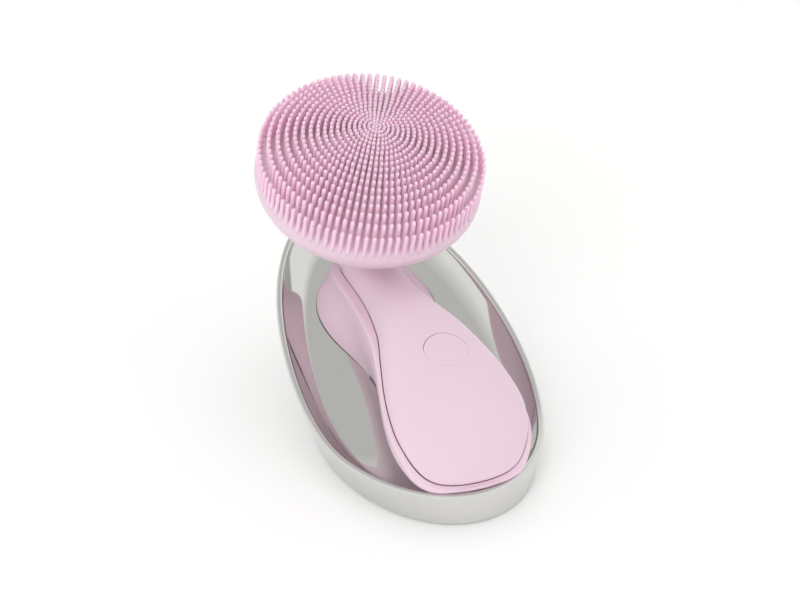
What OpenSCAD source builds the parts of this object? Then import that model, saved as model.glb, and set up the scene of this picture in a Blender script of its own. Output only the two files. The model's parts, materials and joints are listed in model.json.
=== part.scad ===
// Sonic facial cleansing brush lying in its charging dish.
// +Z up, the front of the dish toward -Y, the brush head toward +Y, symmetric about X = 0.
// The origin is under the middle of the whole object, on the surface it stands on.

/* [Dish] */
// Height of the dish rim at its front
rim_front_height = 9.8; // [8.8:0.1:12]
// Climb of the rim per millimetre behind the bend
rim_slope = 0.38; // [0.3:0.01:0.42]
// Thickness of the rim and of its round lip
rim_thickness = 2; // [1.6:0.1:2.4]
// Thickness of the dish floor
tray_thickness = 1.6; // [1.2:0.1:1.8]
// Rise of the dish floor toward its middle
tray_crown = 2.3; // [0:0.1:2.4]

/* [Handle] */
// Wall thickness of the handle shells
shell_wall = 2; // [1.6:0.1:2.4]
// Gap between the handle and its cradle
seat_gap = 0.3; // [0.2:0.05:0.6]
// Diameter of the power button
button_diameter = 12.6; // [10:0.1:14]
// Travel of the power button
button_travel = 0.4; // [0.2:0.05:0.5]

/* [Head] */
// Radius of the round brush head
head_radius = 34.1; // [33:0.1:35]
// Forward tilt of the head
head_tilt = 21; // [19:0.5:22]
// Height of the domed pad above the widest line of the head
pad_height = 14.8; // [14.5:0.1:17]
// Depth of the back shell below the widest line of the head
back_depth = 14.5; // [13:0.1:15]
// Length of the bristles
bristle_length = 7.2; // [5:0.1:8]

/* [Quality] */
// Sides of the lofted surfaces
loft_sides = 64; // [32:4:80]

/* [Hidden] */
$fn = 48;

pink = [0.91, 0.78, 0.85];
deep_pink = [0.85, 0.66, 0.76];
tiny = 0.01;

// Plan ellipses: half width, reach to the front, reach to the back, centre along Y
foot_plan = [30.6, 45.4, 45.4, -16.9];
rim_plan = [35.9, 54.4, 66.5, -7.6];
skirt_bottom = 0.6;
rim_bend_y = -30;
rim_bend_soft = 8;
lip_radius = rim_thickness / 2;
fillet_width = 3.5;

// ---- curves ----
function mix(a, b, t) = a + (b - a) * t;
function smooth(t) = let (c = min(1, max(0, t))) c * c * (3 - 2 * c);
function segment(pts, y) = min(len(pts) - 2, max(0, len([for (p = pts) if (p.x <= y) 1]) - 1));
function slope_at(pts, i) =
    let (a = pts[max(0, i - 1)], b = pts[min(len(pts) - 1, i + 1)]) (b.y - a.y) / (b.x - a.x);
function curve(pts, y) =
    let (i = segment(pts, y), a = pts[i], b = pts[i + 1], h = b.x - a.x, t = (y - a.x) / h)
    let (m0 = slope_at(pts, i) * h, m1 = slope_at(pts, i + 1) * h)
    (2 * t^3 - 3 * t^2 + 1) * a.y + (t^3 - 2 * t^2 + t) * m0
        + (3 * t^2 - 2 * t^3) * b.y + (t^3 - t^2) * m1;
// Rounds off an end: 1 at "from", 0 at "tip"
function nose(y, from, tip, p) =
    let (t = min(1, max(0, (y - from) / (tip - from)))) pow(max(0, 1 - pow(t, p)), 1 / p);
function centre(ring) = [for (k = [0 : 2]) [for (p = ring) p[k]] * [for (p = ring) 1] / len(ring)];

// A closed solid through rings that all have the same number of points
module loft(rings) {
    n = len(rings[0]);
    m = len(rings);
    points = concat([for (r = rings) each r], [centre(rings[0]), centre(rings[m - 1])]);
    sides = [for (j = [0 : m - 2]) for (i = [0 : n - 1]) let (k = (i + 1) % n)
        each [[j * n + i, j * n + k, (j + 1) * n + k], [j * n + i, (j + 1) * n + k, (j + 1) * n + i]]];
    start = [for (i = [0 : n - 1]) [n * m, (i + 1) % n, i]];
    end = [for (i = [0 : n - 1]) [n * m + 1, (m - 1) * n + i, (m - 1) * n + (i + 1) % n]];
    polyhedron(points, concat(sides, start, end));
}

// ---- dish ----
function plan_point(plan, phi, inset) =
    let (reach = sin(phi) < 0 ? plan[1] : plan[2])
    [(plan[0] - inset) * cos(phi), plan[3] + (reach - inset) * sin(phi)];
function rim_height(y) =
    let (d = y - rim_bend_y) rim_front_height + rim_slope * (d + sqrt(d^2 + rim_bend_soft^2)) / 2;
function tray_depth(y) = mix(4.5, 7.6, smooth((y + 60) / 60));
function tray_height(y) = rim_height(y) - tray_depth(y);
function lean(phi) =
    let (r = plan_point(rim_plan, phi, 0)) norm(r - plan_point(foot_plan, phi, 0)) / rim_height(r.y);
// The skirt between the foot outline (level 0) and the rim outline (level 1)
function skirt_point(phi, level, inset) =
    let (p = plan_point(mix(foot_plan, rim_plan, level), phi, inset))
    let (r = plan_point(rim_plan, phi, inset))
    [p.x, p.y, mix(skirt_bottom, rim_height(r.y) - lip_radius, level)];
// The round lip: angle 0 is its outer edge, 180 its inner edge
function lip_point(phi, a) =
    let (p = plan_point(rim_plan, phi, lip_radius * (1 - cos(a))))
    [p.x, p.y, rim_height(p.y) - lip_radius * (1 - sin(a))];
// The inner wall rounds down into the tray: angle 0 at the lip, 90 at the tray
function tray_edge(phi, a) =
    let (drop = tray_depth(plan_point(rim_plan, phi, 9).y) - lip_radius)
    let (inset = rim_thickness + lean(phi) * drop * sin(a) + fillet_width * (1 - cos(a)))
    let (p = plan_point(rim_plan, phi, inset))
    [p.x, p.y, rim_height(p.y) - lip_radius - (tray_depth(p.y) - lip_radius) * sin(a)];
function tray_point(phi, q, below) =
    let (foot = tray_edge(phi, 90), y = mix(rim_plan[3], foot.y, q))
    [foot.x * q, y, tray_height(y) + tray_crown * (1 - q^2)^1.5 * smooth((28 - y) / 40) - below];
// Where the underside of the tray meets the inside of the skirt
function skirt_corner(phi) =
    let (foot = tray_edge(phi, 90), r = plan_point(rim_plan, phi, 0), back = smooth((sin(phi) + 0.3) / 1.3))
    skirt_point(phi, (foot.z - tray_thickness - 0.3 - 3 * back) / rim_height(r.y), rim_thickness - 0.2);
function around(n) = [for (i = [0 : n - 1]) 360 * i / n];

module dish_body() {
    turn = around(loft_sides);
    tray = [for (q = [0.3, 0.6, 0.85]) [for (phi = turn) tray_point(phi, q, 0)]];
    wall = [for (a = [90, 72, 54, 36, 18]) [for (phi = turn) tray_edge(phi, a)]];
    lip = [for (a = [180, 135, 90, 45]) [for (phi = turn) lip_point(phi, a)]];
    skirt = [for (level = [1, 0.5, 0]) [for (phi = turn) skirt_point(phi, level, 0)]];
    inside = [[for (phi = turn) skirt_point(phi, 0, rim_thickness - 0.2)], [for (phi = turn) skirt_corner(phi)]];
    under = [for (q = [1, 0.7, 0.35]) [for (phi = turn) tray_point(phi, q, tray_thickness)]];
    loft(concat(tray, wall, lip, skirt, inside, under));
}

// The slot for the inlet socket, through the back of the skirt
inlet_z = 6.2;
inlet_y = 32.4;
module inlet_slot(extra) {
    translate([0, 0, inlet_z]) rotate([90, 0, 0]) hull()
        for (side = [-1, 1]) translate([side * 2.9, 0, 0]) cylinder(h = 20, r = 1.6 + extra, center = true);
}

module dish() {
    color("silver") difference() {
        dish_body();
        translate([0, inlet_y, 0]) inlet_slot(0.15);
    }
}

// ---- handle ----
butt_y = -60.4;
butt_from = -44;
butt_z = 13.5;
handle_end_y = 24;
// Lines along the handle as [Y, value]: half its width, its top, its underside and the seam between its shells
half_width_line = [[-60, 19.7], [-44, 19.1], [-34, 17.6], [-22, 14.6], [-10, 11.3], [2, 9.3], [9, 8.6],
    [16, 8.3], [24, 8.3]];
top_line = [[-60, 33], [-44, 38.6], [-36, 41.6], [-25, 43.3], [-15, 43.2], [-5, 42], [5, 40.5],
    [15, 39.7], [24, 39.8]];
bottom_line = [[-60, 9], [-44, 13], [-36, 15.5], [-25, 18.5], [-10, 22], [5, 24.5], [15, 25], [24, 25]];
seam_line = [[-60.4, 13.5], [-58, 15.2], [-54, 20], [-50.5, 23.3], [-44, 26], [-34, 28.2], [-28, 29.4], [-22, 30.9],
    [-16, 32.2], [-10, 32.8], [-4, 32.8], [9, 32.6], [24, 32.4]];

function handle_nose(y, grow, p) = nose(y, butt_from, butt_y - grow, p);
function handle_half_width(y, grow) = (curve(half_width_line, y) + grow) * handle_nose(y, grow, 2.6);
function handle_top(y, grow) = mix(butt_z, curve(top_line, y) + grow, handle_nose(y, grow, 2.2));
function handle_bottom(y, grow) = mix(butt_z, curve(bottom_line, y) - grow, handle_nose(y, grow, 2.2));
function seam_height(y) = curve(seam_line, y);
function handle_section(y, grow, n) =
    let (w = handle_half_width(y, grow), top = handle_top(y, grow), low = handle_bottom(y, grow))
    let (mid = min(top - 0.2, max(low + 0.2, seam_height(y))))
    [for (a = around(n)) [w * cos(a), y, mid + (sin(a) > 0 ? top - mid : mid - low) * sin(a)]];
// Stations bunch up toward the butt, where the outline turns fastest
function handle_stations(grow, end) = concat(
    [for (t = [2, 10, 20, 30, 40, 50, 62, 76]) butt_from + (butt_y - grow - butt_from) * cos(t)],
    [for (i = [0 : 14]) mix(butt_from, end, i / 14)]);
module handle_solid(grow, end) {
    loft([for (y = handle_stations(grow, end)) handle_section(y, grow, 36)]);
}
// Everything above the seam between the two handle shells
module above_seam() {
    rotate([90, 0, 90]) linear_extrude(height = 80, center = true)
        polygon(concat([for (i = [0 : 36]) let (y = mix(butt_y, handle_end_y, i / 36)) [y, seam_height(y)]],
            [[40, 32.4], [40, 80], [-80, 80], [-80, butt_z]]));
}
module handle_hollow() {
    handle_solid(-shell_wall, handle_end_y - shell_wall);
}

// The power button sits square to the sloping top of the handle
button_y = -35.2;
button_z = 41.9;
button_tilt = 16;
module at_button() {
    translate([0, button_y, button_z]) rotate([button_tilt, 0, 0]) children();
}

module handle_top_shell() {
    color(pink) difference() {
        intersection() {
            difference() {
                handle_solid(0, handle_end_y);
                handle_hollow();
            }
            above_seam();
        }
        at_button() cylinder(h = 12, r = button_diameter / 2 + 0.3, center = true);
    }
}

module handle_bottom_shell() {
    color(pink) difference() {
        handle_solid(0, handle_end_y);
        handle_hollow();
        above_seam();
    }
}

// ---- neck ----
bend_radius = 14;
bend_y = handle_end_y;
bend_z = 46.4;
neck_half_width = 8.3;
neck_half_height = 7.4;
neck_flare = 2.5;
bend_angle = 90 + head_tilt;
function neck_ring(t, grow, n) =
    let (a = t * bend_angle, w = neck_half_width + neck_flare * t * t + grow, h = neck_half_height + grow)
    [for (s = around(n)) let (r = bend_radius - h * sin(s))
        [w * cos(s), bend_y + r * sin(a), bend_z - r * cos(a)]];
module neck_solid(grow, first) {
    loft([for (i = [first : 14]) neck_ring(i / 14, grow, 36)]);
}
module neck_sleeve() {
    color(pink) difference() {
        neck_solid(0, 0);
        neck_solid(-shell_wall, -0.2);
        in_head() head_outline_below(0);
    }
}

// ---- head ----
head_y = 29.9;
head_z = 64.2;
module in_head() {
    translate([0, head_y, head_z]) rotate([head_tilt, 0, 0]) children();
}
head_wall = 2.2;
function arc_points(rx, rz, from, to, steps) =
    [for (i = [0 : steps]) let (a = mix(from, to, i / steps)) [rx * cos(a), rz * sin(a)]];
// Below the widest line the head is half an ellipsoid
module head_outline_below(shrink) {
    rotate_extrude($fn = 96) polygon(concat([[0, 0]],
        arc_points(head_radius - shrink, -(back_depth - shrink), 0, 90, 14)));
}
// The pad: a plump side, then a dome
function pad_profile(shrink) =
    let (r = head_radius - shrink, h = pad_height - shrink)
    [for (i = [0 : 16]) let (a = 90 * i / 16) [r * pow(cos(a), 1.4), h * sin(a)]];
module pad_solid(shrink) {
    rotate_extrude($fn = 96) polygon(concat([[0, 0]], pad_profile(shrink)));
}

module head_back_shell() {
    color(pink) in_head() difference() {
        head_outline_below(0);
        translate([0, 0, tiny]) head_outline_below(head_wall);
        translate([0, 0, -back_depth - 1]) cylinder(h = 6, r = 6);
    }
}

module brush_pad() {
    color(pink) in_head() difference() {
        pad_solid(0);
        translate([0, 0, -tiny]) pad_solid(head_wall);
    }
}

// The bristles as one closed field that follows the dome
bristle_base = 3.4;
bristle_edge = 33;
module bristles() {
    color(deep_pink) in_head() difference() {
        intersection() {
            translate([0, 0, bristle_length]) pad_solid(0);
            cylinder(h = 40, r = bristle_edge, $fn = 96);
        }
        pad_solid(0);
        cylinder(h = bristle_base * 2, r = 60, center = true);
    }
}

// ---- cradle ----
cradle_front = -61.1;
cradle_back = 43;
// How far the cradle stands out beside the handle, and half its width on the tray, as [Y, value]
band_line = [[-61, 1], [-44, 1.3], [-25, 1.4], [-10, 2.6], [5, 3.4], [24, 3.6], [45, 3.6]];
base_line = [[-61, 7], [-45, 11], [-25, 11], [-10, 9.5], [-2, 10.5], [6, 13.5], [15, 17.5], [24, 19],
    [32, 17], [38, 14], [45, 11.5]];
function cradle_nose(y) = nose(y, -44, cradle_front, 2.6) * nose(y, 28, cradle_back, 2.4);
function cradle_half_width(y) = (curve(half_width_line, min(y, 24)) + curve(band_line, y)) * cradle_nose(y);
function cradle_base_width(y) = curve(base_line, y) * cradle_nose(y);
function cradle_top(y) =
    seam_height(min(24, max(butt_y, y))) - 2 * smooth((-20 - y) / 20) - 1.2 * smooth((y - 30) / 15);
function cradle_bottom(y) = max(tray_height(y) - 0.5, mix(4.8, 11, pow(max(0, (-53.5 - y) / 7.8), 1.4)));
function cradle_section(y) =
    let (w = cradle_half_width(y), b = cradle_base_width(y), top = cradle_top(y), low = cradle_bottom(y))
    let (h = top - low, r = min(1.2, w / 4, h / 4))
    let (half = [[b, low], [mix(b, w, 0.3), low + 0.22 * h], [mix(b, w, 0.72), low + 0.45 * h],
        [mix(b, w, 0.94), low + 0.7 * h], [w, top - r], [w - 0.3 * r, top - 0.3 * r], [w - r, top], [w * 0.4, top]])
    concat([for (p = half) [p.x, y, p.y]], [for (i = [7 : -1 : 0]) [-half[i].x, y, half[i].y]]);
cradle_stations = concat(
    [for (t = [3, 12, 22, 32, 42, 54, 66, 78]) -44 + (cradle_front + 44) * cos(t)],
    [for (i = [0 : 14]) mix(-44, 28, i / 14)],
    [for (t = [70, 52, 36, 22, 10, 2]) 28 + (cradle_back - 28) * cos(t)]);

pocket_y = -34;
pocket_radius = 9.5;
pocket_top = 12.2;

// Room for the neck: its rings with their upper halves raised, so that the brush lifts straight out
module neck_seat() {
    raise = [0, 0, 20];
    loft([for (i = [0 : 10]) neck_ring(i / 14, seat_gap, 36)]);
    loft([for (i = [0 : 10]) let (ring = neck_ring(i / 14, seat_gap, 36))
        [for (k = [0 : 35]) k < 19 ? ring[k] + raise : ring[k]]]);
}

module cradle() {
    color(pink) difference() {
        loft([for (y = cradle_stations) cradle_section(y)]);
        handle_solid(seat_gap, handle_end_y + 0.5);
        neck_seat();
        dish_body();
        translate([0, pocket_y, 0]) cylinder(h = pocket_top, r = pocket_radius);
    }
}

// ---- stand inside ----
base_top = 2.4;
base_bottom = 0.8;
foot_places = [[-17, -45], [17, -45], [-17.5, 8], [17.5, 8]];
screw_places = [[-20, -30], [20, -30], [-12, 16], [12, 16]];
foot_radius = 4;
foot_recess = 0.6;

module base_plate() {
    color([0.25, 0.25, 0.26]) difference() {
        translate([0, 0, base_bottom]) linear_extrude(height = base_top - base_bottom)
            polygon([for (phi = around(72)) plan_point(foot_plan, phi, 2.2)]);
        for (p = foot_places) translate([p.x, p.y, 0]) cylinder(h = base_bottom + foot_recess, r = foot_radius + 0.05);
        for (p = screw_places) translate([p.x, p.y, 0]) cylinder(h = 5, r = 1.1);
    }
}

module rubber_foot(place) {
    color([0.15, 0.15, 0.15]) translate([place.x, place.y, 0]) cylinder(h = base_bottom + foot_recess, r = foot_radius);
}
module foot_front_left() { rubber_foot(foot_places[0]); }
module foot_front_right() { rubber_foot(foot_places[1]); }
module foot_rear_left() { rubber_foot(foot_places[2]); }
module foot_rear_right() { rubber_foot(foot_places[3]); }

module base_screws() {
    color("dimgray") for (p = screw_places) translate([p.x, p.y, base_bottom]) {
        cylinder(h = base_top - base_bottom + 0.2, r = 1);
        translate([0, 0, base_top - base_bottom]) cylinder(h = 0.6, r = 1.8);
    }
}

ballast_y = -2;
module ballast_weight() {
    color("gray") translate([0, ballast_y, base_top]) difference() {
        cylinder(h = 3.4, r = 13);
        translate([0, 0, -1]) cylinder(h = 6, r = 2.5);
    }
}

module inlet_socket() {
    color("silver") difference() {
        translate([0, inlet_y - 5.2, 0]) intersection() {
            inlet_slot(0);
            translate([-10, -2.4, 0]) cube([20, 7, 20]);
        }
        translate([0, inlet_y - 0.6, 0]) intersection() {
            inlet_slot(-0.35);
            translate([-10, -5.5, 0]) cube([20, 12, 20]);
        }
    }
}

module inlet_board() {
    color("darkgreen") translate([-7, inlet_y - 18.4, inlet_z - 1.6 - 1]) cube([14, 12, 1]);
}

module charge_board() {
    color("darkgreen") translate([0, pocket_y, 8.3]) difference() {
        cylinder(h = 1, r = pocket_radius - 0.5);
        translate([0, 0, -1]) cylinder(h = 4, r = 1.5);
    }
}

module transmit_ferrite() {
    color([0.2, 0.2, 0.22]) translate([0, pocket_y, 9.4]) cylinder(h = 1, r = 9.2);
}

module transmit_coil() {
    color([0.75, 0.45, 0.25]) translate([0, pocket_y, 10.4]) difference() {
        cylinder(h = 1.6, r = 9);
        translate([0, 0, -1]) cylinder(h = 4, r = 4);
    }
}

// ---- brush inside ----
belly_tilt = 14;
coil_y = -39;
coil_z = 17.8;
coil_radius = 6;
board_z = 27.4;
board_thickness = 1;
board_front = -48;
board_back = -17;
board_width = 17;
frame_post_places = [[-6.5, -44], [6.5, -44], [-6.5, -20], [6.5, -20]];

// A cradle plate that holds the battery from above and carries the board on posts
module inner_frame() {
    color([0.9, 0.9, 0.88]) difference() {
        union() {
            translate([-7.5, -47, 25.4]) cube([15, 30, 1]);
            for (p = frame_post_places) translate([p.x, p.y, 25.4]) cylinder(h = board_z - 25.4, r = 1.8);
        }
        for (p = frame_post_places) translate([p.x, p.y, 25]) cylinder(h = 5, r = 0.7);
    }
}

module battery() {
    color([0.35, 0.5, 0.7]) translate([0, -30, 21.6]) rotate([belly_tilt, 0, 0]) translate([-6, -24, 0])
        cube([12, 24, 3.6]);
}

module main_board() {
    color("darkgreen") difference() {
        translate([-board_width / 2, board_front, board_z])
            cube([board_width, board_back - board_front, board_thickness]);
        for (p = frame_post_places) translate([p.x, p.y, board_z - 1]) cylinder(h = 4, r = 0.8);
    }
}

module board_screws() {
    color("silver") for (p = frame_post_places) translate([p.x, p.y, 25.8]) {
        cylinder(h = board_z + board_thickness - 25.8 + 0.1, r = 0.7);
        translate([0, 0, board_z + board_thickness - 25.8]) cylinder(h = 0.8, r = 1.5);
    }
}

// The tactile switch stands on the board, square to the button, under its stem
switch_top = -8.2;
plunger_radius = 1.5;
plunger_rise = 0.8;
plunger_seat = 0.8;
module tact_switch() {
    color([0.2, 0.2, 0.2]) difference() {
        intersection() {
            at_button() translate([-3, -3, switch_top - 6]) cube([6, 6, 6]);
            translate([-10, -60, board_z + board_thickness]) cube([20, 50, 20]);
        }
        at_button() translate([0, 0, switch_top - plunger_seat - button_travel - 0.2])
            cylinder(h = 5, r = plunger_radius + 0.1);
    }
}

module switch_plunger() {
    color([0.8, 0.8, 0.78]) at_button() translate([0, 0, switch_top - plunger_seat])
        cylinder(h = plunger_seat + plunger_rise, r = plunger_radius);
}

module power_button() {
    color(pink) {
        intersection() {
            at_button() translate([0, 0, -8]) cylinder(h = 16, r = button_diameter / 2);
            difference() {
                handle_solid(0, 0);
                handle_solid(-shell_wall, -2);
            }
        }
        intersection() {
            at_button() difference() {
                translate([0, 0, -2]) cylinder(h = 8, r = button_diameter / 2);
                translate([0, 0, -3]) cylinder(h = 10, r = button_diameter / 2 - 0.9);
            }
            difference() {
                handle_solid(0.25, 0);
                handle_solid(-1, -2);
            }
        }
        at_button() translate([0, 0, switch_top + plunger_rise + 0.05])
            cylinder(h = -switch_top - plunger_rise - 1.6, r = 2);
    }
}

module receive_ferrite() {
    color([0.2, 0.2, 0.22]) translate([0, coil_y, coil_z]) rotate([belly_tilt, 0, 0])
        translate([0, 0, 0.8]) cylinder(h = 0.5, r = coil_radius);
}

module receive_coil() {
    color([0.75, 0.45, 0.25]) translate([0, coil_y, coil_z]) rotate([belly_tilt, 0, 0]) difference() {
        cylinder(h = 0.8, r = coil_radius);
        translate([0, 0, -1]) cylinder(h = 3, r = 2.5);
    }
}

motor_radius = 5;
motor_length = 16;
motor_x = -6;
motor_z = 3;
shaft_radius = 1;
module along_shaft() {
    in_head() translate([motor_x, 0, motor_z]) rotate([0, 90, 0]) children();
}
module motor() {
    color("silver") along_shaft() difference() {
        translate([0, 0, -motor_length / 2]) cylinder(h = motor_length, r = motor_radius);
        translate([0, 0, 0]) cylinder(h = motor_length, r = shaft_radius + 0.05);
    }
}
module motor_shaft() {
    color("gray") along_shaft() translate([0, 0, 1]) cylinder(h = 17, r = shaft_radius);
}
module eccentric_weight() {
    color([0.7, 0.6, 0.35]) along_shaft() translate([0, 0, 10]) difference() {
        intersection() {
            cylinder(h = 6, r = 4.6);
            translate([-1.6, -10, -1]) cube([20, 20, 10]);
        }
        translate([0, 0, -1]) cylinder(h = 10, r = shaft_radius);
    }
}
module motor_holder() {
    color([0.9, 0.9, 0.88]) in_head() difference() {
        translate([motor_x - 6, -7, -back_depth]) cube([12, 14, back_depth + 9]);
        translate([motor_x, 0, motor_z]) rotate([0, 90, 0]) cylinder(h = 40, r = motor_radius, center = true);
        rotate([180, 0, 0]) head_floor_cut();
    }
}
// Keeps the holder off the inner face of the back shell
module head_floor_cut() {
    gap = head_wall + 0.1;
    rotate_extrude() polygon(concat([[60, 0], [60, 30], [0, 30]],
        arc_points(head_radius - gap, back_depth - gap, 90, 0, 10)));
}

dish();
cradle();
base_plate();
ballast_weight();
base_screws();
foot_front_left();
foot_front_right();
foot_rear_left();
foot_rear_right();
inlet_socket();
inlet_board();
charge_board();
transmit_coil();
transmit_ferrite();
handle_top_shell();
handle_bottom_shell();
neck_sleeve();
head_back_shell();
brush_pad();
bristles();
inner_frame();
battery();
main_board();
board_screws();
tact_switch();
receive_coil();
receive_ferrite();
motor_holder();
motor();
power_button();
switch_plunger();
motor_shaft();
eccentric_weight();
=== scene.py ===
"""Facial cleansing brush lying in its charging dish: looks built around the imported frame."""
import json
import math
import random

import bmesh
import bpy
import numpy as np
from mathutils import Matrix, Vector


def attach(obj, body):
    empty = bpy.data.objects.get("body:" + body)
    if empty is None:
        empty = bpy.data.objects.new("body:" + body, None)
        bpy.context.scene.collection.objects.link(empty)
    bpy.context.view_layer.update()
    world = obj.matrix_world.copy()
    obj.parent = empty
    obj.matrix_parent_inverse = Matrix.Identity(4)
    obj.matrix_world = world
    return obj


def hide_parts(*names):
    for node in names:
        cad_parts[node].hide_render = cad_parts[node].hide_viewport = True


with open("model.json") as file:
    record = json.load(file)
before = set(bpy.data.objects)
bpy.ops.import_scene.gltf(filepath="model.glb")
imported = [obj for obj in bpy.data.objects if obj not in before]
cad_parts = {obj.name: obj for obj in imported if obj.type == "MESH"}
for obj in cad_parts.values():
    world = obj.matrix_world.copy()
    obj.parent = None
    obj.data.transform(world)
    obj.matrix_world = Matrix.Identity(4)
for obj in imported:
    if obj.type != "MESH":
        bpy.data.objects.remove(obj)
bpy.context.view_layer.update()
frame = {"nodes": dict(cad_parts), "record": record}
MM = 0.001
COARSE = 1


# ---------------------------------------------------------------- camera
def add_camera():
    target = Vector((-0.0098, -0.0245, 0.0532))
    azimuth, elevation, distance = math.radians(-20), math.radians(30), 0.6208
    back = Vector((math.cos(elevation) * math.sin(azimuth), -math.cos(elevation) * math.cos(azimuth),
                   math.sin(elevation)))
    data = bpy.data.cameras.new("camera")
    data.lens = 100
    data.sensor_width = 36
    data.clip_start = 0.01
    data.clip_end = 20
    cam = bpy.data.objects.new("camera", data)
    cam.location = target + back * distance
    cam.rotation_euler = back.to_track_quat("Z", "Y").to_euler()
    bpy.context.scene.collection.objects.link(cam)
    bpy.context.scene.camera = cam


add_camera()


# ---------------------------------------------------------------- curves, as in the CAD
def mix(a, b, t):
    return a + (b - a) * t


def smooth(t):
    c = min(1.0, max(0.0, t))
    return c * c * (3 - 2 * c)


def curve(pts, y):
    n = len(pts)
    i = min(n - 2, max(0, sum(1 for p in pts if p[0] <= y) - 1))

    def slope(k):
        a, b = pts[max(0, k - 1)], pts[min(n - 1, k + 1)]
        return (b[1] - a[1]) / (b[0] - a[0])

    a, b = pts[i], pts[i + 1]
    h = b[0] - a[0]
    t = (y - a[0]) / h
    return ((2 * t**3 - 3 * t**2 + 1) * a[1] + (t**3 - 2 * t**2 + t) * slope(i) * h
            + (3 * t**2 - 2 * t**3) * b[1] + (t**3 - t**2) * slope(i + 1) * h)


def nose(y, start, tip, p):
    t = min(1.0, max(0.0, (y - start) / (tip - start)))
    return max(0.0, 1 - t**p) ** (1 / p)


def turn(n):
    return [2 * math.pi * i / n for i in range(n)]


# ---------------------------------------------------------------- mesh helpers
def new_object(name, bm, sharp=35):
    mesh = bpy.data.meshes.new(name)
    bm.normal_update()
    bm.to_mesh(mesh)
    bm.free()
    mesh.shade_smooth()
    mesh.set_sharp_from_angle(angle=math.radians(sharp))
    obj = bpy.data.objects.new(name, mesh)
    bpy.context.scene.collection.objects.link(obj)
    return obj


def loft(bm, rings):
    """A closed skin of quads through rings of points in millimetres, capped by a fan at each end."""
    rows = [[bm.verts.new(Vector(p) * MM) for p in ring] for ring in rings]
    n = len(rows[0])
    for low, high in zip(rows, rows[1:]):
        for i in range(n):
            k = (i + 1) % n
            bm.faces.new((low[i], low[k], high[k], high[i]))
    for row, flip in ((rows[0], True), (rows[-1], False)):
        mid = bm.verts.new(sum((v.co for v in row), Vector()) / n)
        for i in range(n):
            k = (i + 1) % n
            bm.faces.new((mid, row[k], row[i]) if flip else (mid, row[i], row[k]))


def lofted(name, rings, sharp=35):
    bm = bmesh.new()
    loft(bm, rings)
    bmesh.ops.recalc_face_normals(bm, faces=bm.faces)
    return new_object(name, bm, sharp)


def combine(obj, other, operation, sharp=35):
    """Adds or cuts with another closed mesh, which is then removed."""
    mod = obj.modifiers.new("combine", "BOOLEAN")
    mod.operation = operation
    mod.solver = "EXACT"
    mod.object = other
    bpy.context.view_layer.update()
    mesh = bpy.data.meshes.new_from_object(obj.evaluated_get(bpy.context.evaluated_depsgraph_get()))
    obj.modifiers.clear()
    obj.data = mesh
    bpy.data.objects.remove(other)
    mesh.shade_smooth()
    mesh.set_sharp_from_angle(angle=math.radians(sharp))


def spun(profile, sides, place):
    """Rings of a turned shape: profile is [(radius, height)], place puts a point in the frame."""
    return [[place(Vector((r * math.cos(a), r * math.sin(a), z))) for a in turn(sides)] for r, z in profile]


# ---------------------------------------------------------------- dish
FOOT = (30.6, 45.4, 45.4, -16.9)
RIM = (35.9, 54.4, 66.5, -7.6)
RIM_FRONT = 9.8
RIM_SLOPE = 0.38
RIM_BEND_Y = -30
RIM_BEND_SOFT = 8
SKIRT_BOTTOM = 0.6
WALL = 2.0
LIP = WALL / 2
FLOOR = 1.6
FILLET = 3.5
CROWN = 2.3


def plan_point(plan, phi, inset):
    reach = plan[1] if math.sin(phi) < 0 else plan[2]
    return (plan[0] - inset) * math.cos(phi), plan[3] + (reach - inset) * math.sin(phi)


def rim_height(y):
    d = y - RIM_BEND_Y
    return RIM_FRONT + RIM_SLOPE * (d + math.sqrt(d * d + RIM_BEND_SOFT**2)) / 2


def tray_depth(y):
    return mix(4.5, 7.6, smooth((y + 60) / 60))


def tray_height(y):
    return rim_height(y) - tray_depth(y)


def skirt_point(phi, level, inset):
    plan = [mix(a, b, level) for a, b in zip(FOOT, RIM)]
    x, y = plan_point(plan, phi, inset)
    ry = plan_point(RIM, phi, inset)[1]
    return x, y, mix(SKIRT_BOTTOM, rim_height(ry) - LIP, level)


def lip_point(phi, a):
    x, y = plan_point(RIM, phi, LIP * (1 - math.cos(a)))
    return x, y, rim_height(y) - LIP * (1 - math.sin(a))


def tray_edge(phi, a):
    rx, ry = plan_point(RIM, phi, 0)
    fx, fy = plan_point(FOOT, phi, 0)
    lean = math.hypot(rx - fx, ry - fy) / rim_height(ry)
    drop = tray_depth(plan_point(RIM, phi, 9)[1]) - LIP
    x, y = plan_point(RIM, phi, WALL + lean * drop * math.sin(a) + FILLET * (1 - math.cos(a)))
    return x, y, rim_height(y) - LIP - (tray_depth(y) - LIP) * math.sin(a)


def tray_point(phi, q, below):
    fx, fy, _ = tray_edge(phi, math.pi / 2)
    y = mix(RIM[3], fy, q)
    crown = CROWN * (1 - q * q) ** 1.5 * smooth((28 - y) / 40)
    return fx * q, y, tray_height(y) + crown - below


def skirt_corner(phi):
    z = tray_edge(phi, math.pi / 2)[2]
    ry = plan_point(RIM, phi, 0)[1]
    back = smooth((math.sin(phi) + 0.3) / 1.3)
    return skirt_point(phi, (z - FLOOR - 0.3 - 3 * back) / rim_height(ry), WALL - 0.2)


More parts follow.
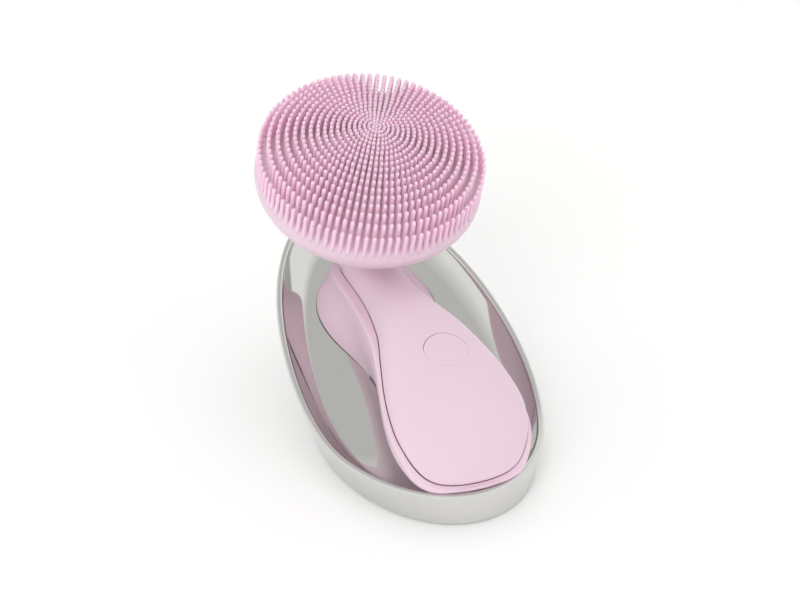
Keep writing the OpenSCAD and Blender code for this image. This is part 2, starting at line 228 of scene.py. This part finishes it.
def dish_rings(sides):
    around = turn(sides)
    rad = math.radians
    rings = [[tray_point(p, q, 0) for p in around] for q in (0.08, 0.2, 0.35, 0.5, 0.65, 0.8, 0.92)]
    rings += [[tray_edge(p, rad(a)) for p in around] for a in range(90, 0, -6)]
    rings += [[lip_point(p, rad(a)) for p in around] for a in range(180, 0, -12)]
    rings += [[skirt_point(p, k / 8, 0) for p in around] for k in range(8, -1, -1)]
    rings += [[skirt_point(p, 0, WALL - 0.2) for p in around], [skirt_corner(p) for p in around]]
    rings += [[tray_point(p, q, FLOOR) for p in around] for q in (1, 0.7, 0.35, 0.1)]
    return rings


SLOT_Z = 6.2
SLOT_REACH = 2.9
SLOT_R = 1.75


def slot_rings():
    """The inlet slot through the back of the skirt: a rounded bar along Y."""
    outline = []
    for i in range(40):
        a = 2 * math.pi * (i + 0.5) / 40
        side = math.copysign(SLOT_REACH, math.cos(a))
        outline.append((side + SLOT_R * math.cos(a), SLOT_Z + SLOT_R * math.sin(a)))
    return [[(x, y, z) for x, z in outline] for y in (22.4, 42.4)]


# ---------------------------------------------------------------- handle, neck and head
HALF_WIDTH = ((-60, 19.7), (-44, 19.1), (-34, 17.6), (-22, 14.6), (-10, 11.3), (2, 9.3), (9, 8.6),
              (16, 8.3), (24, 8.3))
TOP = ((-60, 33), (-44, 38.6), (-36, 41.6), (-25, 43.3), (-15, 43.2), (-5, 42), (5, 40.5), (15, 39.7),
       (24, 39.8))
BOTTOM = ((-60, 9), (-44, 13), (-36, 15.5), (-25, 18.5), (-10, 22), (5, 24.5), (15, 25), (24, 25))
SEAM = ((-60.4, 13.5), (-58, 15.2), (-54, 20), (-50.5, 23.3), (-44, 26), (-34, 28.2), (-28, 29.4),
        (-22, 30.9), (-16, 32.2), (-10, 32.8), (-4, 32.8), (9, 32.6), (24, 32.4))
BUTT = -60.4
BUTT_FROM = -44
BUTT_Z = 13.5
HANDLE_END = 24


def handle_ring(y, grow, sides):
    w = (curve(HALF_WIDTH, y) + grow) * nose(y, BUTT_FROM, BUTT - grow, 2.6)
    end = nose(y, BUTT_FROM, BUTT - grow, 2.2)
    top = mix(BUTT_Z, curve(TOP, y) + grow, end)
    low = mix(BUTT_Z, curve(BOTTOM, y) - grow, end)
    mid = min(top - 0.2, max(low + 0.2, curve(SEAM, y)))
    return [(w * math.cos(a), y, mid + (top - mid if math.sin(a) > 0 else mid - low) * math.sin(a))
            for a in turn(sides)]


def handle_rings(grow, end, sides, steps):
    reach = BUTT - grow - BUTT_FROM
    rings = [handle_ring(BUTT_FROM + reach * math.cos(math.radians(t)), grow, sides)
             for t in np.concatenate(([1.0, 3.0], np.linspace(6, 87, steps // 2)))]
    return rings + [handle_ring(y, grow, sides) for y in np.linspace(BUTT_FROM, end, steps)]


BEND = 14
BEND_Z = 46.4
NECK_HALF_WIDTH = 8.3
NECK_HALF_HEIGHT = 7.4
NECK_WIDENING = 2.5
TILT = math.radians(21)
HEAD = Vector((0, 29.9, 64.2))
HEAD_TURN = Matrix.Rotation(TILT, 4, "X")


def in_head(p):
    return tuple(HEAD_TURN @ Vector(p) + HEAD)


def neck_ring(t, grow, sides, flare=0.0):
    a = t * (math.pi / 2 + TILT)
    w = NECK_HALF_WIDTH + NECK_WIDENING * t * t + grow + flare
    h = NECK_HALF_HEIGHT + grow + flare
    out = []
    for s in turn(sides):
        r = BEND - h * math.sin(s)
        out.append((w * math.cos(s), HANDLE_END + r * math.sin(a), BEND_Z - r * math.cos(a)))
    return out


HEAD_R = 34.1
DOME = 14.8
BACK = 14.5
HEAD_FLARE = 5.5


def dome_height(r):
    return DOME * math.sin(math.acos(min(1.0, r / HEAD_R) ** (1 / 1.4)))


def head_rings(sides):
    rad = math.radians
    low = [(HEAD_R * math.cos(rad(a)), -BACK * math.sin(rad(a))) for a in (88, *range(84, 0, -4))]
    high = [(HEAD_R * math.cos(rad(a)) ** 1.4, DOME * math.sin(rad(a))) for a in (*range(0, 88, 3), 88)]
    return spun(low + high, sides, in_head)


def build_skin():
    sides = 96 // COARSE
    body = handle_rings(0, HANDLE_END - 0.6, sides, 88 // COARSE)
    neck = [neck_ring(i / 32, 0, sides, HEAD_FLARE * max(0, (i / 32 - 0.5) / 0.5) ** 3) for i in range(33)]
    skin = lofted("silicone_skin", body + neck)
    combine(skin, lofted("head_form", head_rings(192 // COARSE)), "UNION")
    hole = spun([(HOLE_R, -3.0), (HOLE_R, 6.0)], 96, at_button)
    combine(skin, lofted("hole_form", hole), "DIFFERENCE")
    return skin


# ---------------------------------------------------------------- power button
BUTTON = Vector((0, -35.2, 41.9))
BUTTON_TURN = Matrix.Rotation(math.radians(16), 4, "X")
RING_RISE = 0.2
RING_R = 5.75
RING_WIDTH = 0.42
HOLE_R = 6.34


def at_button(p):
    return tuple(BUTTON_TURN @ Vector(p) + BUTTON)


def on_handle(x, y):
    """Height of the top of the handle."""
    w = curve(HALF_WIDTH, y) * nose(y, BUTT_FROM, BUTT, 2.6)
    top = mix(BUTT_Z, curve(TOP, y), nose(y, BUTT_FROM, BUTT, 2.2))
    mid = curve(SEAM, y)
    return mid + (top - mid) * math.sqrt(max(0.0, 1 - (x / w) ** 2))


def button_rings():
    """A disc that follows the handle, with a fine raised ring round its edge and a stem under it."""
    def proud(r):
        return RING_RISE * math.exp(-((r - RING_R) / RING_WIDTH) ** 2)

    def surface(r, a, lift):
        p = Vector(at_button((r * math.cos(a), r * math.sin(a), 0)))
        return p.x, p.y, on_handle(p.x, p.y) + lift

    radii = [0.3, 1.2, 2.2, 3.2, 4.0, 4.5, 4.8, 5.0, 5.2, 5.4, 5.55, 5.7, 5.85, 6.0, 6.12, 6.22]
    rings = [[surface(r, a, proud(r)) for a in turn(96)] for r in radii]
    edge = ((6.28, -0.01), (6.31, -0.08), (6.31, -1.7), (5.9, -1.9))
    stem = ((2.2, -1.9), (2.0, -2.2), (2.0, -7.1), (1.7, -7.3))
    rings += [[surface(r, a, d) for a in turn(96)] for r, d in edge]
    return rings + spun(stem, 96, at_button)


# ---------------------------------------------------------------- bristles
FIELD_AXIS = math.radians(-90 - 25)
BRISTLE = 7.2
LAST_RING = 33.2


def bristle_places():
    """Rings that open out toward the edge; even counts that all start on one line through the middle."""
    steps = []
    while sum(steps) < LAST_RING:
        steps.append(1.15 + 1.7 * (sum(steps) / LAST_RING) ** 0.8)
    scale = LAST_RING / sum(steps)
    places = [(0.0, 0.0, 0.0)]
    for k, step in enumerate(steps):
        r = sum(steps[:k + 1]) * scale
        count = 2 * round(math.pi * r / (step * scale * 0.88))
        places += [(r, FIELD_AXIS + a, r / LAST_RING) for a in turn(count)]
    return places


def build_bristles():
    rng = random.Random(7)
    bm = bmesh.new()
    sides = 10
    for r, a, out in bristle_places():
        thick = mix(0.46, 0.64, out)
        length = BRISTLE + rng.uniform(-0.12, 0.12)
        x, y = r * math.cos(a), r * math.sin(a)
        edge = out**6  # the outermost bristles run down the side of the pad
        foot = dome_height(r) - 0.35 - 1.9 * edge
        flare = mix(1.0, 0.45, edge)
        top = dome_height(r) + length
        lean = Vector((x, y, 0)) * 0.004 + Vector((rng.uniform(-0.08, 0.08), rng.uniform(-0.08, 0.08), 0))
        shape = [(0.45, 0.0), (0.3, 0.12), (0.16, 0.28), (0.07, 0.5), (0.0, 0.8)]
        rings = [[in_head((x + thick * (1 + k * flare) * math.cos(s) + lean.x * t,
                           y + thick * (1 + k * flare) * math.sin(s) + lean.y * t,
                           mix(foot, top, t))) for s in turn(sides)] for k, t in shape]
        for angle in (0, 25, 48, 68, 84):
            c, h = math.cos(math.radians(angle)), math.sin(math.radians(angle))
            rings.append([in_head((x + thick * c * math.cos(s) + lean.x, y + thick * c * math.sin(s) + lean.y,
                                   top - thick + thick * h)) for s in turn(sides)])
        loft(bm, rings)
    return new_object("bristle_field", bm, 60)


# ---------------------------------------------------------------- cradle
BAND = ((-61, 1), (-44, 1.3), (-25, 1.4), (-10, 2.6), (5, 3.4), (24, 3.6), (45, 3.6))
BASE = ((-61, 7), (-45, 11), (-25, 11), (-10, 9.5), (-2, 10.5), (6, 13.5), (15, 17.5), (24, 19),
        (32, 17), (38, 14), (45, 11.5))
CRADLE_FRONT = -61.1
CRADLE_BACK = 43
GAP = 0.3
LIFT = 20
POCKET_Y = -34
POCKET_R = 9.5
POCKET_TOP = 12.2


def cradle_ring(y):
    end = nose(y, -44, CRADLE_FRONT, 2.6) * nose(y, 28, CRADLE_BACK, 2.4)
    w = (curve(HALF_WIDTH, min(y, 24)) + curve(BAND, y)) * end
    b = curve(BASE, y) * end
    top = curve(SEAM, min(24, max(BUTT, y))) - 2 * smooth((-20 - y) / 20) - 1.2 * smooth((y - 30) / 15)
    low = max(tray_height(y) - 0.5, mix(4.8, 11, max(0, (-53.5 - y) / 7.8) ** 1.4))
    h = top - low
    r = min(1.2, w / 4, h / 4)
    side = []
    knots = [(b, low), (mix(b, w, 0.3), low + 0.22 * h), (mix(b, w, 0.72), low + 0.45 * h),
             (mix(b, w, 0.94), low + 0.7 * h), (w, top - r)]
    for i in range(4):
        p0, p1, p2, p3 = (knots[max(0, i - 1)], knots[i], knots[i + 1], knots[min(4, i + 2)])
        for t in (0.0, 0.25, 0.5, 0.75):
            side.append(tuple(0.5 * (2 * b1 + (c2 - a0) * t + (2 * a0 - 5 * b1 + 4 * c2 - d3) * t * t
                                     + (3 * b1 - a0 - 3 * c2 + d3) * t**3)
                              for a0, b1, c2, d3 in zip(p0, p1, p2, p3)))
    side += [(w - r + r * math.cos(a), top - r + r * math.sin(a)) for a in np.radians((0, 22, 45, 67, 90))]
    side.append((w * 0.4, top))
    return [(x, y, z) for x, z in side] + [(-x, y, z) for x, z in reversed(side)]


def build_cradle():
    front = [-44 + (CRADLE_FRONT + 44) * math.cos(math.radians(t)) for t in np.linspace(3, 86, 24)]
    back = [28 + (CRADLE_BACK - 28) * math.cos(math.radians(t)) for t in np.linspace(80, 2, 18)]
    rings = [cradle_ring(y) for y in (*front, *np.linspace(-44, 28, 60), *back)]
    cradle = lofted("cradle_body", rings)
    combine(cradle, lofted("seat_form", handle_rings(GAP, HANDLE_END + 0.5, 96, 60)), "DIFFERENCE")
    neck = [neck_ring(i / 14, GAP, 72) for i in range(11)]
    combine(cradle, lofted("neck_form", neck), "DIFFERENCE")
    raised = [[(x, y, z + LIFT) if k < 37 else (x, y, z) for k, (x, y, z) in enumerate(ring)] for ring in neck]
    combine(cradle, lofted("lift_form", raised), "DIFFERENCE")
    pocket = spun([(POCKET_R, -2.0), (POCKET_R, POCKET_TOP)], 96, lambda p: (p.x, p.y + POCKET_Y, p.z))
    combine(cradle, lofted("pocket_form", pocket), "DIFFERENCE")
    combine(cradle, lofted("floor_form", dish_rings(96)), "DIFFERENCE")
    bev = cradle.modifiers.new("soft_edge", "BEVEL")
    bev.width = 0.2 * MM
    bev.segments = 2
    bev.limit_method = "ANGLE"
    bev.angle_limit = math.radians(50)
    return cradle


# ---------------------------------------------------------------- materials
def material(name, color, rough, metal=0.0, grain=3000.0, bump=0.02, vary=0.03, rough_vary=0.06,
             subsurface=0.0, coat=0.0, sheen=0.0, second=None):
    """A procedural finish: colour and roughness wander a little, and fine grain lifts the surface."""
    mat = bpy.data.materials.new(name)
    mat.use_nodes = True
    nodes, links = mat.node_tree.nodes, mat.node_tree.links
    shader = nodes["Principled BSDF"]
    shader.inputs["Metallic"].default_value = metal
    if subsurface:
        shader.inputs["Specular IOR Level"].default_value = 0.2
        shader.inputs["Subsurface Weight"].default_value = subsurface
        shader.inputs["Subsurface Radius"].default_value = (1.0, 0.55, 0.65)
        shader.inputs["Subsurface Scale"].default_value = 0.0022
    if coat:
        shader.inputs["Coat Weight"].default_value = coat
        shader.inputs["Coat Roughness"].default_value = 0.12
    if sheen:
        shader.inputs["Sheen Weight"].default_value = sheen
        shader.inputs["Sheen Roughness"].default_value = 0.4
    place = nodes.new("ShaderNodeTexCoord")
    wide = nodes.new("ShaderNodeTexNoise")
    wide.inputs["Scale"].default_value = 70
    wide.inputs["Detail"].default_value = 3
    links.new(place.outputs["Object"], wide.inputs["Vector"])
    ramp = nodes.new("ShaderNodeValToRGB")
    dark = second or [c * (1 - vary) for c in color]
    ramp.color_ramp.elements[0].position = 0.3
    ramp.color_ramp.elements[1].position = 0.7
    ramp.color_ramp.elements[0].color = (*dark, 1)
    ramp.color_ramp.elements[1].color = (*color, 1)
    links.new(wide.outputs["Fac"], ramp.inputs["Fac"])
    links.new(ramp.outputs["Color"], shader.inputs["Base Color"])
    span = nodes.new("ShaderNodeMapRange")
    span.inputs["To Min"].default_value = max(0.02, rough - rough_vary)
    span.inputs["To Max"].default_value = rough + rough_vary
    fine = nodes.new("ShaderNodeTexNoise")
    fine.inputs["Scale"].default_value = grain
    fine.inputs["Detail"].default_value = 2
    links.new(place.outputs["Object"], fine.inputs["Vector"])
    links.new(wide.outputs["Fac"], span.inputs["Value"])
    links.new(span.outputs["Result"], shader.inputs["Roughness"])
    relief = nodes.new("ShaderNodeBump")
    relief.inputs["Strength"].default_value = bump
    relief.inputs["Distance"].default_value = 0.0001
    links.new(fine.outputs["Fac"], relief.inputs["Height"])
    links.new(relief.outputs["Normal"], shader.inputs["Normal"])
    return mat


def unmirrored(obj):
    """Keeps a piece out of mirror reflections, so that the dish mirrors the studio and the cradle."""
    obj.visible_glossy = False
    return obj


def dress(obj, mat):
    obj.data.materials.clear()
    obj.data.materials.append(mat)


silicone = material("soft_silicone", (0.80, 0.615, 0.71), 0.46, bump=0.12, grain=2600, vary=0.015,
                    subsurface=0.25, sheen=0.15)
bristle_silicone = material("bristle_silicone", (0.93, 0.63, 0.77), 0.42, bump=0.05, grain=1800, vary=0.03,
                            subsurface=0.6, sheen=0.1)
cradle_plastic = material("satin_pink_plastic", (0.82, 0.62, 0.72), 0.38, bump=0.06, grain=2200, vary=0.02,
                          subsurface=0.1, coat=0.1)
chrome = material("polished_chrome", (0.68, 0.675, 0.66), 0.05, metal=1.0, bump=0.01, grain=500, vary=0.02,
                  rough_vary=0.02)
INSIDE = {
    "base_grey": material("base_plastic", (0.08, 0.08, 0.085), 0.55, bump=0.25, grain=2500, vary=0.15),
    "foot_rubber": material("rubber", (0.03, 0.03, 0.03), 0.75, bump=0.35, grain=4000, vary=0.2),
    "steel": material("steel", (0.62, 0.62, 0.63), 0.28, metal=1.0, bump=0.08, grain=3500, vary=0.08),
    "cast_weight": material("cast_metal", (0.33, 0.33, 0.34), 0.5, metal=1.0, bump=0.5, grain=1500, vary=0.2),
    "board_green": material("circuit_board", (0.02, 0.16, 0.07), 0.35, bump=0.1, grain=900,
                            second=(0.03, 0.22, 0.10)),
    "copper": material("copper_winding", (0.72, 0.36, 0.2), 0.3, metal=1.0, bump=0.4, grain=1800, vary=0.2),
    "ferrite": material("ferrite", (0.05, 0.05, 0.055), 0.5, bump=0.4, grain=3000, vary=0.2),
    "cell_wrap": material("cell_wrap", (0.16, 0.32, 0.6), 0.3, bump=0.05, grain=1200, vary=0.08),
    "white_frame": material("white_moulding", (0.78, 0.78, 0.76), 0.45, bump=0.12, grain=2600, vary=0.04),
    "black_plastic": material("black_moulding", (0.03, 0.03, 0.03), 0.4, bump=0.15, grain=2600, vary=0.2),
    "brass": material("brass", (0.75, 0.55, 0.25), 0.3, metal=1.0, bump=0.1, grain=2500, vary=0.1),
    "chrome": chrome,
}


# ---------------------------------------------------------------- pieces
def piece(obj, mat, body, slot, *nodes):
    dress(obj, mat)
    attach(obj, body)
    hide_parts(*nodes)


dish = lofted("dish_shell", dish_rings(256 // COARSE), sharp=40)
combine(dish, lofted("slot_form", slot_rings()), "DIFFERENCE", 40)
piece(dish, chrome, "stand", "chrome", "dish")
piece(build_cradle(), cradle_plastic, "stand", "cradle_pink", "cradle")
piece(unmirrored(build_skin()), silicone, "brush", "silicone_pink",
      "handle_top_shell", "handle_bottom_shell", "neck_sleeve", "head_back_shell", "brush_pad")
piece(unmirrored(build_bristles()), bristle_silicone, "brush", "bristle_pink", "bristles")
cap = unmirrored(lofted("button_cap", button_rings(), sharp=60))
piece(cap, silicone, "button", "silicone_pink", "power_button")

slots = {p["node"]: p["material_slot"] for p in frame["record"]["subparts"]}
for name, node in frame["nodes"].items():
    if slots.get(name) in INSIDE:
        dress(node, INSIDE[slots[name]])
        unmirrored(node)


# ---------------------------------------------------------------- floor and light
def add_floor():
    bm = bmesh.new()
    bmesh.ops.create_grid(bm, x_segments=2, y_segments=2, size=6)
    floor = new_object("floor", bm)
    paint = material("pale_floor", (0.93, 0.93, 0.93), 0.7, bump=0.0, vary=0.004)
    shader = paint.node_tree.nodes["Principled BSDF"]
    shader.inputs["Emission Color"].default_value = (1, 1, 1, 1)
    shader.inputs["Emission Strength"].default_value = 0.1
    dress(floor, paint)


def add_light(name, place, aim, size, watts):
    """A round soft light that the polished dish doesn't mirror."""
    data = bpy.data.lights.new(name, "AREA")
    data.shape = "DISK"
    data.size = size
    data.energy = watts
    lamp = bpy.data.objects.new(name, data)
    lamp.location = place
    lamp.rotation_euler = (Vector(place) - Vector(aim)).to_track_quat("Z", "Y").to_euler()
    lamp.visible_glossy = False
    bpy.context.scene.collection.objects.link(lamp)


def add_world():
    world = bpy.data.worlds.new("studio")
    bpy.context.scene.world = world
    world.use_nodes = True
    nodes, links = world.node_tree.nodes, world.node_tree.links
    place = nodes.new("ShaderNodeTexCoord")
    split = nodes.new("ShaderNodeSeparateXYZ")
    ramp = nodes.new("ShaderNodeValToRGB")
    stops = ramp.color_ramp.elements
    stops[0].position = 0.0
    stops[0].color = (1, 1, 1, 1)
    stops[1].position = 1.0
    stops[1].color = (0.66, 0.66, 0.65, 1)
    for where, level in ((0.5, 1.0), (0.66, 0.8), (0.85, 0.64)):
        stop = stops.new(where)
        stop.color = (level, level, level * 0.985, 1)
    links.new(place.outputs["Generated"], split.inputs["Vector"])
    links.new(split.outputs["Z"], ramp.inputs["Fac"])
    links.new(ramp.outputs["Color"], nodes["Background"].inputs["Color"])
    nodes["Background"].inputs["Strength"].default_value = 1.0


add_floor()
add_world()
bpy.context.scene.view_settings.view_transform = "Standard"
middle = (0, -0.01, 0.04)
add_light("key", (-0.8, -0.9, 0.9), middle, 0.9, 4.2)
add_light("fill", (1.0, -0.5, 0.9), middle, 0.9, 0.3)
add_light("top", (0.1, 0.3, 1.3), middle, 1.0, 2)
